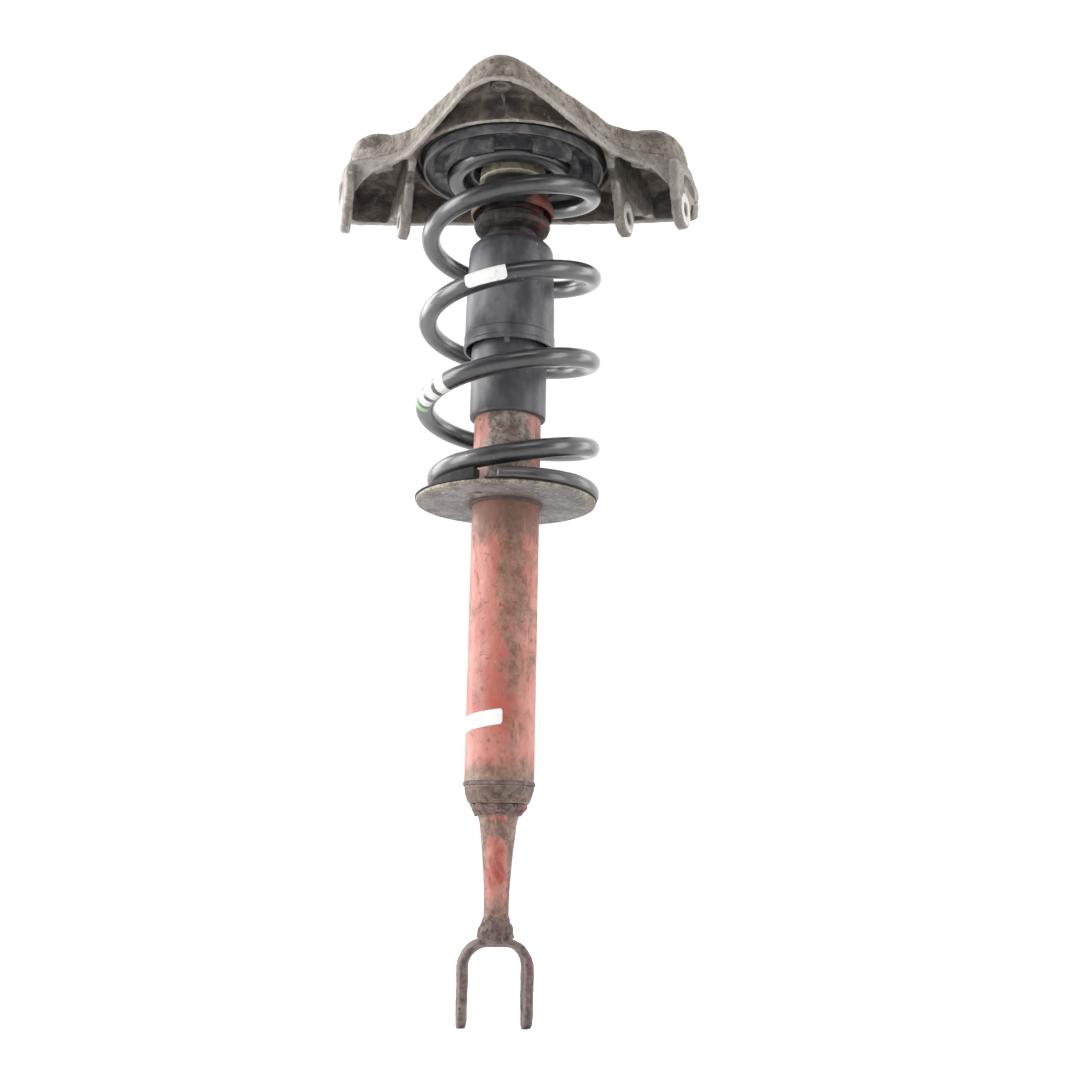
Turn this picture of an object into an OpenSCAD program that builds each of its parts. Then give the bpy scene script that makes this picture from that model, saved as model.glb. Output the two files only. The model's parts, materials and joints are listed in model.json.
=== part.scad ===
// Suspension strut assembly: cast top bracket, rubber mount, coil spring, twin-tube damper and fork foot.
// Frame: millimetres, origin at the fork bolt centre, +Z up along the damper axis, -Y toward the bracket's
// pointed end. The fork bolt lies fork_turn degrees from +X.

/* [Fork foot] */
// Gap between the prongs
fork_gap = 39; // [28:0.5:50]
// Thickness of each prong
fork_prong_t = 7; // [6:0.2:14]
// Depth of the fork, across the bolt
fork_depth = 30; // [24:1:44]
// Diameter of the fork bolt hole
fork_bore_d = 12.5; // [10:0.1:16]
// Turn of the fork about the damper axis, in degrees
fork_turn = 5; // [-20:1:20]

/* [Damper] */
// Outside diameter of the damper tube
tube_d = 50.8; // [45:0.1:55]
// Wall of the damper tube
tube_wall = 2; // [1.5:0.1:3]
// Diameter of the piston rod
rod_d = 14; // [12:0.5:22]
// Height of the lower spring seat above the fork bolt
seat_z = 362.6; // [330:0.1:400]
// Diameter of the lower spring seat
seat_d = 135.8; // [120:0.2:150]

/* [Spring] */
// Diameter of the spring wire
wire_d = 14.4; // [11:0.2:16]
// Mean diameter of the coils
coil_mean_d = 126.6; // [110:0.2:140]
// Mean diameter of the drawn-in top coil
pigtail_mean_d = 83; // [75:1:126]
// Rise of one full coil
coil_pitch = 68.8; // [50:0.2:80]
// How far the working coils lean, at the coil radius
coil_lean = 3.9; // [0:0.1:6]

/* [Dust covers] */
// Diameter of the outer sleeve at its open end
sleeve_d = 70.6; // [62:0.2:76]
// Diameter of the inner cover tube
inner_cover_d = 58; // [54:0.2:62]

/* [Top bracket] */
// Turn of the bracket about the damper axis, in degrees
bracket_turn = -5; // [-15:0.5:15]
// Wall thickness of the casting
cast_wall = 5.2; // [4:0.2:8]
// Distance between the two rear body bolts
body_bolt_span = 216; // [180:1:240]
// Turn of each pair of arm ears from the long side, in degrees
ear_toe = 17; // [0:0.5:25]
// Gap between the two ears of a pair
ear_gap = 39; // [32:0.5:48]
// Diameter of the arm bolt holes
ear_bore_d = 10.4; // [8.4:0.1:12.4]

/* [Hidden] */

fine = 72;
tube_r = tube_d / 2;
bore_r = tube_r - tube_wall;
rod_r = rod_d / 2;
wire_r = wire_d / 2;
coil_r = coil_mean_d / 2;
pigtail_r = pigtail_mean_d / 2;

// Heights below are measured from the underside of the lower spring seat.
tube_bottom = -209.5;
tube_top = 104;
seat_t = 3;
pad_t = 1;
wire_floor = seat_t + pad_t + 0.05;
wire_high = 268.1;
coil_start = -455;
coil_end = 1418;
roof_low = 294;
roof_top = 300;
rim_low = 264.5;
ear_z = 236;
ear_t = 7.4;
ear_r = 15;
pair_x = 109.4;
pair_y = 2.6;
skirt_r = 81;
apex_bolt_y = -113;
side_bolt_y = 2;
screw_pcd_r = 62;

// A ring turned about the damper axis, from height z0 to z1.
module ring(ro, ri, z0, z1) {
  translate([0, 0, z0]) difference() {
    cylinder(h = z1 - z0, r = ro, $fn = fine);
    translate([0, 0, -1]) cylinder(h = z1 - z0 + 2, r = ri, $fn = fine);
  }
}

// ---------------------------------------------------------------- fork, stem and tube bottom

module fork_outline(w, top, rad) {
  translate([-w / 2, -60]) square([w, 60 + top - rad]);
  translate([-w / 2 + rad, 0]) square([w - 2 * rad, top]);
  for (s = [-1, 1]) translate([s * (w / 2 - rad), top - rad]) circle(r = rad, $fn = fine);
}

module fork() {
  outer_w = fork_gap + 2 * fork_prong_t;
  top = 47.4;
  gap_top = top - 6.8;
  edge = 8;
  color("#6d5f57") rotate([0, 0, fork_turn]) difference() {
    intersection() {
      rotate([90, 0, 0]) linear_extrude(height = fork_depth + 10, center = true) difference() {
        fork_outline(outer_w, top, 22);
        fork_outline(fork_gap, gap_top, 13);
      }
      rotate([90, 0, 90]) linear_extrude(height = outer_w + 10, center = true) union() {
        circle(r = fork_depth / 2, $fn = fine);
        translate([-fork_depth / 2, 0]) square([fork_depth, top - edge]);
        translate([-fork_depth / 2 + edge, 0]) square([fork_depth - 2 * edge, top]);
        for (s = [-1, 1]) translate([s * (fork_depth / 2 - edge), top - edge]) circle(r = edge, $fn = fine);
      }
    }
    rotate([0, 90, 0]) cylinder(h = outer_w + 20, d = fork_bore_d, center = true, $fn = fine);
    translate([0, 0, 30]) cylinder(h = 30, r = 6.5, $fn = fine);
  }
}

module stem() {
  color("#6a6058") translate([0, 0, seat_z]) rotate_extrude($fn = fine)
    polygon([[0, -321.5], [6.4, -321.5], [6.4, -315.2], [8.9, -315.2], [9.1, -283], [11, -258],
      [13.4, -236], [14.8, -231], [16.8, -228], [18.2, -225.4], [18.2, -222.5], [0, -222.5]]);
}

module end_cap() {
  color("#6a5650") translate([0, 0, seat_z]) rotate_extrude($fn = fine)
    polygon([[0, -222.4], [20.9, -222.4], [22.6, -220.6], [24, -216.6], [25, -212.2], [25.3, -209.6],
      [23.35, -209.6], [23.35, -204], [20.2, -204], [17.6, -216.4], [0, -216.4]]);
}

module welds() {
  color("#5b4e48") translate([0, 0, seat_z]) {
    rotate_extrude($fn = fine) polygon([[9.3, -298.5], [9.8, -300], [10.8, -305], [12.3, -310],
      [13.6, -313.5], [13.6, -315.15], [9.1, -315.15]]);
    rotate_extrude($fn = fine) polygon([[18.3, -222.55], [20.4, -222.55], [19.4, -226], [16.6, -231],
      [15.7, -230.6], [18.3, -225.6]]);
    rotate_extrude($fn = fine) polygon([[25.45, -210.6], [26.3, -209.2], [26.2, -207.4], [25.45, -206.6]]);
  }
}

// ---------------------------------------------------------------- damper body

module damper_tube() {
  color("#b0625c") translate([0, 0, seat_z]) difference() {
    ring(tube_r, bore_r, tube_bottom, tube_top);
    difference() {
      translate([0, 0, -2.1]) cylinder(h = 2.1, r = tube_r + 2, $fn = fine);
      translate([0, 0, -3]) cylinder(h = 4, r = tube_r - 0.9, $fn = fine);
    }
  }
}

module pressure_cylinder() {
  color("#9a9ea2") translate([0, 0, seat_z]) ring(17.5, 16, -196, 84);
}

module base_valve() {
  color("#8c8f92") translate([0, 0, seat_z]) difference() {
    union() {
      translate([0, 0, -203.8]) cylinder(h = 7.7, r = 17.2, $fn = fine);
      translate([0, 0, -196.1]) cylinder(h = 7, r = 15.9, $fn = fine);
    }
    for (a = [0:60:300]) rotate([0, 0, a]) translate([10, 0, -210]) cylinder(h = 30, r = 1.8, $fn = 24);
    for (a = [30:60:330]) rotate([0, 0, a]) translate([15, 0, -205]) cube([8, 5, 4], center = true);
  }
}

module rod_guide() {
  color("#85888b") translate([0, 0, seat_z]) difference() {
    union() {
      translate([0, 0, 84.05]) cylinder(h = 13.9, r = bore_r - 0.05, $fn = fine);
      translate([0, 0, 78]) cylinder(h = 7, r = 15.95, $fn = fine);
    }
    translate([0, 0, 70]) cylinder(h = 40, r = rod_r + 1.75, $fn = fine);
    for (a = [45:90:315]) rotate([0, 0, a]) translate([20, 0, 70]) cylinder(h = 40, r = 1.5, $fn = 24);
  }
}

module rod_bush() {
  color("#7f8a5c") translate([0, 0, seat_z]) ring(rod_r + 1.7, rod_r + 0.05, 78.2, 97.8);
}

module rod_seal() {
  color("#26262a") translate([0, 0, seat_z]) rotate_extrude($fn = fine)
    polygon([[rod_r + 0.06, 99], [rod_r + 0.06, 102], [10, 103.9], [bore_r - 0.1, 103.9],
      [bore_r - 0.1, 98.05], [10, 98.05], [8.4, 98.6]]);
}

module tube_cap() {
  color("#5d5f62") translate([0, 0, seat_z]) difference() {
    union() {
      translate([0, 0, 90]) cylinder(h = 15.5, r = tube_r + 1.5, $fn = fine);
      translate([0, 0, 105]) cylinder(h = 1.5, r1 = tube_r + 1.5, r2 = tube_r, $fn = fine);
    }
    translate([0, 0, 80]) cylinder(h = 24.1, r = tube_r + 0.05, $fn = fine);
    translate([0, 0, 100]) cylinder(h = 10, r = rod_r + 2, $fn = fine);
  }
}

module inner_dust_tube() {
  cover_r = inner_cover_d / 2;
  color("#3b3d41") translate([0, 0, seat_z]) rotate_extrude($fn = fine)
    polygon([[tube_r + 0.1, 66.4], [cover_r - 1.3, 66.4], [cover_r - 0.3, 67.2], [cover_r, 68.6],
      [cover_r, 123], [cover_r - 1.6, 123], [cover_r - 1.6, 106], [tube_r + 1.6, 104],
      [tube_r + 1.6, 90], [cover_r - 1.6, 88], [cover_r - 1.6, 71], [tube_r + 0.1, 69]]);
}

module seat_circlip() {
  color("#4a4b4e") translate([0, 0, seat_z]) difference() {
    ring(tube_r + 2.4, tube_r - 0.85, -2.05, -0.1);
    rotate([0, 0, 90]) translate([0, -4, -5]) cube([40, 8, 10]);
  }
}

module lower_spring_seat() {
  sr = seat_d / 2;
  color("#8a8884") translate([0, 0, seat_z]) difference() {
    rotate_extrude($fn = 96)
      polygon([[tube_r + 0.06, 0], [sr - 1.6, 0], [sr - 0.5, 0.5], [sr, 1.4], [sr, 2.4], [sr - 0.8, seat_t],
        [tube_r + 5, seat_t], [tube_r + 3.4, 5], [tube_r + 3.2, 13], [tube_r + 0.06, 13]]);
    for (a = [-119, 61]) rotate([0, 0, a]) translate([41.5, 0, -2]) cylinder(h = 8, r = 2.9, $fn = 32);
  }
}

// Rising part of the lower pad, from turn a0 to a1: it fills the space under the climbing end coil.
module pad_ramp(a0, a1, n) {
  foot = seat_t + 0.6;
  points = [for (i = [0:n]) let (a = a0 + i * (a1 - a0) / n, r = coil_rad(a), top = coil_z(a) - wire_r - 0.4,
      far = min(r + 5.5, 68.2)) for (p = [[r - 5.5, foot], [far, foot], [far, top], [r - 5.5, top]])
      [p[0] * cos(a), p[0] * sin(a), p[1]]];
  sides = [for (i = [0:n - 1], j = [0:3]) let (k = (j + 1) % 4, a = i * 4, b = a + 4)
      each [[a + j, b + j, a + k], [a + k, b + j, b + k]]];
  polyhedron(points = points, faces = concat(sides, [[3, 2, 1, 0], [n * 4, n * 4 + 1, n * 4 + 2, n * 4 + 3]]));
}

module lower_spring_pad() {
  color("#202123") translate([0, 0, seat_z]) difference() {
    union() {
      ring(68.4, 37, seat_t + 0.02, seat_t + pad_t);
      pad_ramp(-262, -112, 15);
    }
    rotate([0, 0, -106]) translate([40, -4, 0]) cube([40, 8, 20]);
  }
}

// ---------------------------------------------------------------- rod and piston

module piston_rod() {
  color("#b9bcc0") translate([0, 0, seat_z]) union() {
    translate([0, 0, 76.2]) cylinder(h = 272.5 - 76.2, r = rod_r, $fn = fine);
    translate([0, 0, 48]) cylinder(h = 28.4, r = 5, $fn = fine);
    translate([0, 0, 272.4]) cylinder(h = 305 - 272.4, r = 6, $fn = fine);
    translate([0, 0, 305]) cylinder(h = 1.5, r1 = 6, r2 = 4.6, $fn = fine);
  }
}

module rebound_stop() {
  color("#34363a") translate([0, 0, seat_z]) ring(12.6, rod_r, 76.4, 77.7);
}

module piston() {
  color("#77797c") translate([0, 0, seat_z]) difference() {
    translate([0, 0, 60.2]) cylinder(h = 12, r = 15.6, $fn = fine);
    ring(17, 14.8, 63.2, 69.2);
    translate([0, 0, 50]) cylinder(h = 30, r = 5.02, $fn = fine);
    for (a = [0:60:300]) rotate([0, 0, a]) translate([10.4, 0, 50]) cylinder(h = 30, r = 1.7, $fn = 24);
  }
}

module piston_band() {
  color("#9c7d4e") translate([0, 0, seat_z]) ring(15.94, 14.82, 63.25, 69.15);
}

module valve_shims() {
  color("#aeb1b4") translate([0, 0, seat_z]) {
    ring(13.2, 5.02, 72.25, 73.05);
    ring(11.4, 5.02, 73.07, 74.4);
    ring(9, 5.02, 74.42, 76.15);
    ring(13.2, 5.02, 59.2, 60.15);
    ring(10, 5.02, 57.6, 59.18);
  }
}

module piston_nut() {
  color("#a3a6a9") translate([0, 0, seat_z + 50]) difference() {
    cylinder(h = 7.55, r = 9.2, $fn = 6);
    translate([0, 0, -1]) cylinder(h = 10, r = 5.02, $fn = fine);
  }
}

// ---------------------------------------------------------------- bump stop and covers

module bump_stop() {
  color("#2b2829") translate([0, 0, seat_z]) rotate_extrude($fn = fine)
    polygon([[rod_r + 0.6, 187], [13, 187], [16, 189], [17.6, 193], [16, 197], [14.6, 199.5], [18.4, 202],
      [20.4, 205], [19.4, 208], [19, 209], [19, 218.6], [24.6, 219.2], [28.6, 221], [29.9, 224.4],
      [29.2, 228], [26.4, 230.6], [24.6, 232], [24.2, 252], [22.2, 270.6], [rod_r + 0.6, 270.6]]);
}

module bump_stop_cup() {
  color("#a39a8c") translate([0, 0, seat_z]) rotate_extrude($fn = fine)
    polygon([[6.05, 272.6], [6.05, 274.4], [22, 274.4], [24.4, 273.4], [25.6, 271], [26.4, 262.8],
      [25.4, 262], [26.6, 261.2], [27.4, 248], [29.6, 245.6], [31.8, 241], [32.6, 236.5], [32.4, 233.4],
      [31, 233.2], [30.9, 236.4], [29.6, 240.4], [27.4, 244], [25.6, 247.2], [24.8, 261], [24, 270],
      [22.4, 272.6]]);
}

module outer_dust_sleeve() {
  sr = sleeve_d / 2;
  color("#3f4144") translate([0, 0, seat_z]) union() {
    rotate_extrude($fn = 96)
      polygon([[sr - 1.8, 121.5], [sr, 121.5], [sr, 124.2], [sr - 0.5, 125.4], [sr - 0.4, 132],
        [sr - 0.9, 133], [sr - 1.1, 156], [sr - 2.3, 196], [sr - 2.9, 202], [sr - 4, 204.8],
        [29.4, 206.8], [27.8, 207.8], [27.2, 209], [25.4, 209.8], [24.6, 211.6], [23.4, 212.4],
        [19.15, 212.4], [19.15, 209.4], [23, 208.6], [25.4, 206.6], [28.6, 205], [sr - 5.4, 203],
        [sr - 4.4, 200.4], [sr - 4, 196], [sr - 2.8, 156], [sr - 2.4, 133]]);
    rotate([0, 0, -93]) translate([sr - 1.7, -2, 117.4]) cube([1.5, 4, 5]);
  }
}

// ---------------------------------------------------------------- coil spring

function softplus(x, k) = x / k > 30 ? x : k * ln(1 + exp(x / k));
function ease(t) = t <= 0 ? 0 : t >= 1 ? 1 : t * t * (3 - 2 * t);
// The working coils rise evenly but lean toward 225 degrees.
function coil_line(a) = 42.7 + a * coil_pitch / 360 + coil_lean * cos(a - 45);
// The end coil rises slowly from its ground tip.
function coil_base(a) = 5.4 + (a - coil_start) * 0.037 + max(0, a + 360) * 0.012;
function coil_z(a) = let (b = coil_base(a), l = coil_line(a))
  b + softplus(l - b, 2.2) - softplus(l - wire_high, 2.2);
function coil_rad(a) = coil_r - 10.5 * (ease((a + 340) / 150) - ease((a + 175) / 150))
  - (coil_r - pigtail_r) * ease((a - 1060) / 270);
function coil_point(a) = [coil_rad(a) * cos(a), coil_rad(a) * sin(a), coil_z(a)];
function on_floor(p) = [p[0], p[1], max(p[2], wire_floor)];

module coil_spring() {
  n = 158;
  m = 14;
  step = (coil_end - coil_start) / n;
  points = [for (i = [0:n]) let (a = coil_start + i * step, p = coil_point(a),
      t = coil_point(a + 0.5) - coil_point(a - 0.5), tn = t / norm(t),
      out = [cos(a), sin(a), 0], o2 = out - (out * tn) * tn, u = o2 / norm(o2), v = cross(tn, u))
      for (j = [0:m - 1]) on_floor(p + wire_r * (cos(j * 360 / m) * u + sin(j * 360 / m) * v))];
  sides = [for (i = [0:n - 1], j = [0:m - 1])
      let (k = (j + 1) % m, a = i * m + j, b = i * m + k, c = (i + 1) * m + k, d = (i + 1) * m + j)
      each [[a, b, c], [a, c, d]]];
  caps = [[for (j = [m - 1:-1:0]) j], [for (j = [0:m - 1]) n * m + j]];
  color("#2c2e31") translate([0, 0, seat_z])
    polyhedron(points = points, faces = [for (f = concat(sides, caps)) [for (i = [len(f) - 1:-1:0]) f[i]]]);
}

// ---------------------------------------------------------------- top seat and mount

module top_spring_seat() {
  color("#303236") translate([0, 0, seat_z]) rotate_extrude($fn = 96)
    polygon([[31.6, 269.5], [34, 269.5], [34, 274.8], [36, 276.6], [54, 276.6], [56.5, 274.5], [68.6, 274.5],
      [69.2, 273.8], [69.2, 270], [71.2, 270], [71.2, 276.4], [70.2, 277.5], [58, 277.5], [55.5, 279.4],
      [33, 279.4], [31.6, 278]]);
}

module top_spring_pad() {
  color("#26272a") translate([0, 0, seat_z]) union() {
    ring(53.6, 36.2, 275.4, 276.5);
    difference() {
      union() {
        difference() {
          ring(63, 56, 262, 274.3);
          for (a = [0:60:300]) rotate([0, 0, a - 90]) linear_extrude(height = 600, center = true)
            polygon([[0, 0], [90, 90 * tan(15)], [90, -90 * tan(15)]]);
        }
        ring(56.5, 52.6, 265.5, 274.3);
        ring(63, 55, 272.4, 274.4);
        ring(53.6, 52.6, 274.2, 276.5);
      }
      translate([-80, 0, 240]) cube([160, 80, 60]);
    }
  }
}

module mount_plate() {
  color("#3a3c40") translate([0, 0, seat_z]) difference() {
    union() {
      ring(76.2, 23, 290.6, roof_low - 0.02);
      ring(76.2, 73.8, 280, roof_low - 0.02);
    }
    for (a = [30, 150, 270]) rotate([0, 0, a + bracket_turn]) translate([screw_pcd_r, 0, 280])
      cylinder(h = 30, r = 4.3, $fn = 40);
  }
}

module mount_rubber() {
  color("#1e1f21") translate([0, 0, seat_z]) difference() {
    rotate_extrude($fn = fine)
      polygon([[14.05, 279.5], [14.05, 291.4], [20, 291.4], [22.9, 290.5], [73.7, 290.5], [73.7, 280.6],
        [71.6, 277.6], [58.2, 277.6], [55.6, 279.5]]);
    for (a = [30, 150, 270]) rotate([0, 0, a + bracket_turn]) translate([screw_pcd_r, 0, 270])
      cylinder(h = 30, r = 8.5, $fn = 40);
  }
}

module mount_sleeve() {
  color("#8f9194") translate([0, 0, seat_z]) union() {
    ring(14, 6.05, 279, 291.9);
    ring(18, 6.05, 274.45, 277);
    ring(12, 6.05, 276.9, 279.1);
  }
}

module mount_screws() {
  color("#6f7174") translate([0, 0, seat_z])
    for (a = [30, 150, 270]) rotate([0, 0, a + bracket_turn]) translate([screw_pcd_r, 0, 0]) {
      translate([0, 0, 284.6]) cylinder(h = 5.95, r = 7.2, $fn = 6);
      translate([0, 0, 290]) cylinder(h = 7.5, r = 3.98, $fn = 40);
    }
}

module rod_washer() {
  color("#8f9194") translate([0, 0, seat_z]) ring(17, 6.05, 291.95, 294.4);
}

module rod_nut() {
  color("#8a8c8f") translate([0, 0, seat_z + 294.45]) difference() {
    union() {
      cylinder(h = 9, r = 10.9, $fn = 6);
      cylinder(h = 2, r = 12.4, $fn = fine);
    }
    translate([0, 0, -1]) cylinder(h = 12, r = 6.04, $fn = fine);
  }
}

// ---------------------------------------------------------------- cast top bracket
// Drawn square to X and turned by bracket_turn at the end.

// Half outlines at the rim, from the middle of the near side to the middle of the back.
wedge_half = [[0, -136], [11, -134], [22, -127], [30, -119.5], [37, -110.5], [50, -89], [63, -67.5], [140, 57.2]];
shoulder_half = [[0, -40], [82, -38], [92, -30.5], [105, -24], [118, -20.5], [126, -18.5], [132.5, -14.5],
  [137, -7.5], [143, 10], [146.5, 30], [149, 58], [149, 76], [147, 82], [140, 84.6], [70, 86.5], [0, 87]];
// The walls lean inward: each part of the outline shrinks toward its own centre up to the top.
wedge_lean = 0.56;
wedge_centre = -125;
shoulder_lean = [0.945, 0.86];
shoulder_centre = 52.5;

function both_halves(h) = concat(h, [for (i = [len(h) - 1:-1:0]) if (h[i][0] > 0) [-h[i][0], h[i][1]]]);

// A leaning prism from rim_low up to height top, its outline moved inward by inset.
module leaning(half, centre, lean, inset, top) {
  t = (top - rim_low) / (roof_top - rim_low);
  l = is_list(lean) ? lean : [lean, lean];
  translate([0, centre, rim_low]) linear_extrude(height = top - rim_low,
      scale = [1 + t * (l[0] - 1), 1 + t * (l[1] - 1)])
    translate([0, -centre]) offset(delta = -inset) polygon(both_halves(half));
}

module bracket_block(inset, top) {
  leaning(wedge_half, wedge_centre, wedge_lean, inset, top);
  leaning(shoulder_half, shoulder_centre, shoulder_lean, inset, top);
}

module shoulder_column() {
  leaning(shoulder_half, shoulder_centre, shoulder_lean, 0.4, roof_top - 3);
  translate([0, 0, 200]) linear_extrude(height = rim_low + 4 - 200)
    offset(delta = -1.6) polygon(both_halves(shoulder_half));
}

// One ear plate: near and far edges run up into the casting; side is the direction of the spot face.
module ear_plate(u0, far) {
  translate([u0, 0, 0]) rotate([90, 0, 90]) linear_extrude(height = ear_t) union() {
    circle(r = ear_r, $fn = fine);
    polygon([[-ear_r, 0], [ear_r, 0], [ear_r + 6, 12], [far, 34], [far, 59], [-46, 59], [-46, 38],
      [-36, 31], [-22, 16]]);
  }
}

module ear_pair() {
  translate([pair_x, pair_y, ear_z]) rotate([0, 0, -ear_toe]) difference() {
    union() {
      ear_plate(-ear_gap / 2 - ear_t, 76);
      ear_plate(ear_gap / 2, 60);
      for (u = [-ear_gap / 2 - ear_t, ear_gap / 2]) translate([u, 0, 0]) rotate([0, 90, 0])
        cylinder(h = ear_t + 1.1, r = 12.6, $fn = fine);
    }
    rotate([0, 90, 0]) cylinder(h = 140, d = ear_bore_d, center = true, $fn = fine);
  }
}

// Rounds the corner where the near wall meets the outer ear of a pair.
module arch_fillet(s) {
  mirror([s < 0 ? 0 : 1, 0, 0]) translate([-131, -15, 232.5]) rotate([90, 0, 0]) linear_extrude(height = 14)
    difference() {
      square([38, 38]);
      translate([38, 0]) circle(r = 34, $fn = fine);
    }
}

module strut_bracket() {
  color("#a8a29a") translate([0, 0, seat_z]) rotate([0, 0, bracket_turn]) difference() {
    union() {
      difference() {
        union() {
          bracket_block(0, roof_top);
          translate([0, 0, 270]) cylinder(h = 27, r = skirt_r, $fn = 96);
          for (s = [-1, 1]) translate([s * body_bolt_span / 2, side_bolt_y, 280]) cylinder(h = 22, r = 15, $fn = fine);
          translate([0, apex_bolt_y, 280]) cylinder(h = 22, r = 13.5, $fn = fine);
        }
        difference() {
          union() {
            bracket_block(cast_wall, roof_low);
            translate([-160, -150, 240]) cube([320, 300, rim_low + 0.01 - 240]);
          }
          difference() {
            translate([0, 0, 240]) cylinder(h = 60, r = skirt_r, $fn = 96);
            translate([0, 0, 230]) cylinder(h = 80, r = 76.6, $fn = 96);
          }
        }
        translate([0, 0, 240]) cylinder(h = roof_low - 240, r = 76.6, $fn = 96);
        rotate([90, 0, 90]) linear_extrude(height = 400, center = true)
          polygon([[-200, 200], [-200, 285.3], [-20, 266.6], [20, 265.6], [120, 265.2], [120, 200]]);
        translate([0, 0, 234]) cylinder(h = 40, r = 83, $fn = 96);
      }
      intersection() {
        union() {
          ear_pair();
          mirror([1, 0, 0]) ear_pair();
        }
        union() {
          shoulder_column();
          for (s = [-1, 1]) translate([s * 108 - 44, -24, 200]) cube([88, 60, 71]);
        }
      }
      intersection() {
        for (s = [-1, 1]) arch_fillet(s);
        shoulder_column();
      }
      for (s = [-1, 1]) translate([s * body_bolt_span / 2, side_bolt_y, 279]) cylinder(h = 20, r = 12, $fn = fine);
      translate([0, apex_bolt_y, 283]) cylinder(h = 16, r = 8.6, $fn = fine);
      translate([-2.2, -126, 284]) cube([4.4, 46, 13]);
    }
    translate([0, 0, 280]) cylinder(h = 40, r = 21, $fn = fine);
    for (s = [-1, 1]) translate([s * body_bolt_span / 2, side_bolt_y, 270]) cylinder(h = 60, r = 4.25, $fn = 40);
    translate([0, apex_bolt_y, 270]) cylinder(h = 60, r = 4.25, $fn = 40);
    for (a = [30, 150, 270]) rotate([0, 0, a]) translate([screw_pcd_r, 0, 280]) cylinder(h = 18.2, r = 4, $fn = 40);
  }
}

strut_bracket();
mount_plate();
mount_rubber();
mount_sleeve();
mount_screws();
rod_washer();
rod_nut();
top_spring_seat();
top_spring_pad();
bump_stop_cup();
bump_stop();
outer_dust_sleeve();
piston_rod();
rebound_stop();
piston();
piston_band();
valve_shims();
piston_nut();
coil_spring();
damper_tube();
pressure_cylinder();
base_valve();
rod_guide();
rod_bush();
rod_seal();
tube_cap();
inner_dust_tube();
seat_circlip();
lower_spring_seat();
lower_spring_pad();
end_cap();
stem();
welds();
fork();
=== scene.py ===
"""Looks of a suspension strut assembly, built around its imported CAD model.

Metres, in the CAD's own frame: +Z up along the damper axis, origin at the fork's bolt hole."""

import json
import math

import bmesh
import bpy
import numpy as np
from mathutils import Matrix, Vector, noise

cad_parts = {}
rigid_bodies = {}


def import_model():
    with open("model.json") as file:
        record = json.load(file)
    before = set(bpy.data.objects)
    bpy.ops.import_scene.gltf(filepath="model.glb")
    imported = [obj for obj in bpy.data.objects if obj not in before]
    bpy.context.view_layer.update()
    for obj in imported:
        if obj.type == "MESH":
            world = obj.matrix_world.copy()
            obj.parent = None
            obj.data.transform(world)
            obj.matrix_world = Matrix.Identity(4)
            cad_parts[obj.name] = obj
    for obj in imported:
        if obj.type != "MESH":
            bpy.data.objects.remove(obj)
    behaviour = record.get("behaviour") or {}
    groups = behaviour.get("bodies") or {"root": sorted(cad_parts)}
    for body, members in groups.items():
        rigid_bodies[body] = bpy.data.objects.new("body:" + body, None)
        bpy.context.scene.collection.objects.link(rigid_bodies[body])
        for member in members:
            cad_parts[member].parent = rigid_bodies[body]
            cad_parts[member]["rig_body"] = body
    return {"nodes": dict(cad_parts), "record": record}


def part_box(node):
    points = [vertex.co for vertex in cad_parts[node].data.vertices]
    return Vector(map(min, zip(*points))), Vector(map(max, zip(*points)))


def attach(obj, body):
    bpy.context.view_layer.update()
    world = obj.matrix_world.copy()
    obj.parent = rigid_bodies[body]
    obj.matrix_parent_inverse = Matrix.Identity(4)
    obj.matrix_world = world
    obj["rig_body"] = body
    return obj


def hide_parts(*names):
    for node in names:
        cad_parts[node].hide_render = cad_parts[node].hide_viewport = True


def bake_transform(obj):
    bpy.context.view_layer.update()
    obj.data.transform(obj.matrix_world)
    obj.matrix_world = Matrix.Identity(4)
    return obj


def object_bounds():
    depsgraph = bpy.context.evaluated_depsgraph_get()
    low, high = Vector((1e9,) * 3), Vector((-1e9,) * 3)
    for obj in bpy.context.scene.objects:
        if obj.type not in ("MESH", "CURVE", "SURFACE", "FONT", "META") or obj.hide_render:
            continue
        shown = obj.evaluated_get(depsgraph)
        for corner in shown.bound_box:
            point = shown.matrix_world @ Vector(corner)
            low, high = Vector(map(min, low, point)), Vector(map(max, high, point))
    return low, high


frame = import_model()
cad_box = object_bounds()

MM = 0.001
SEAT_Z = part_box("lower_spring_seat")[0].z
record = frame["record"]
mounts = {m["name"]: m for m in record["mounts"]}


def srgb(code):
    """Linear colour with alpha from a hex code such as "b0625c"."""
    parts = [int(code[i:i + 2], 16) / 255 for i in (0, 2, 4)]
    return (*[c / 12.92 if c <= 0.04045 else ((c + 0.055) / 1.055) ** 2.4 for c in parts], 1.0)


# ---------------------------------------------------------------- shader building

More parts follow.
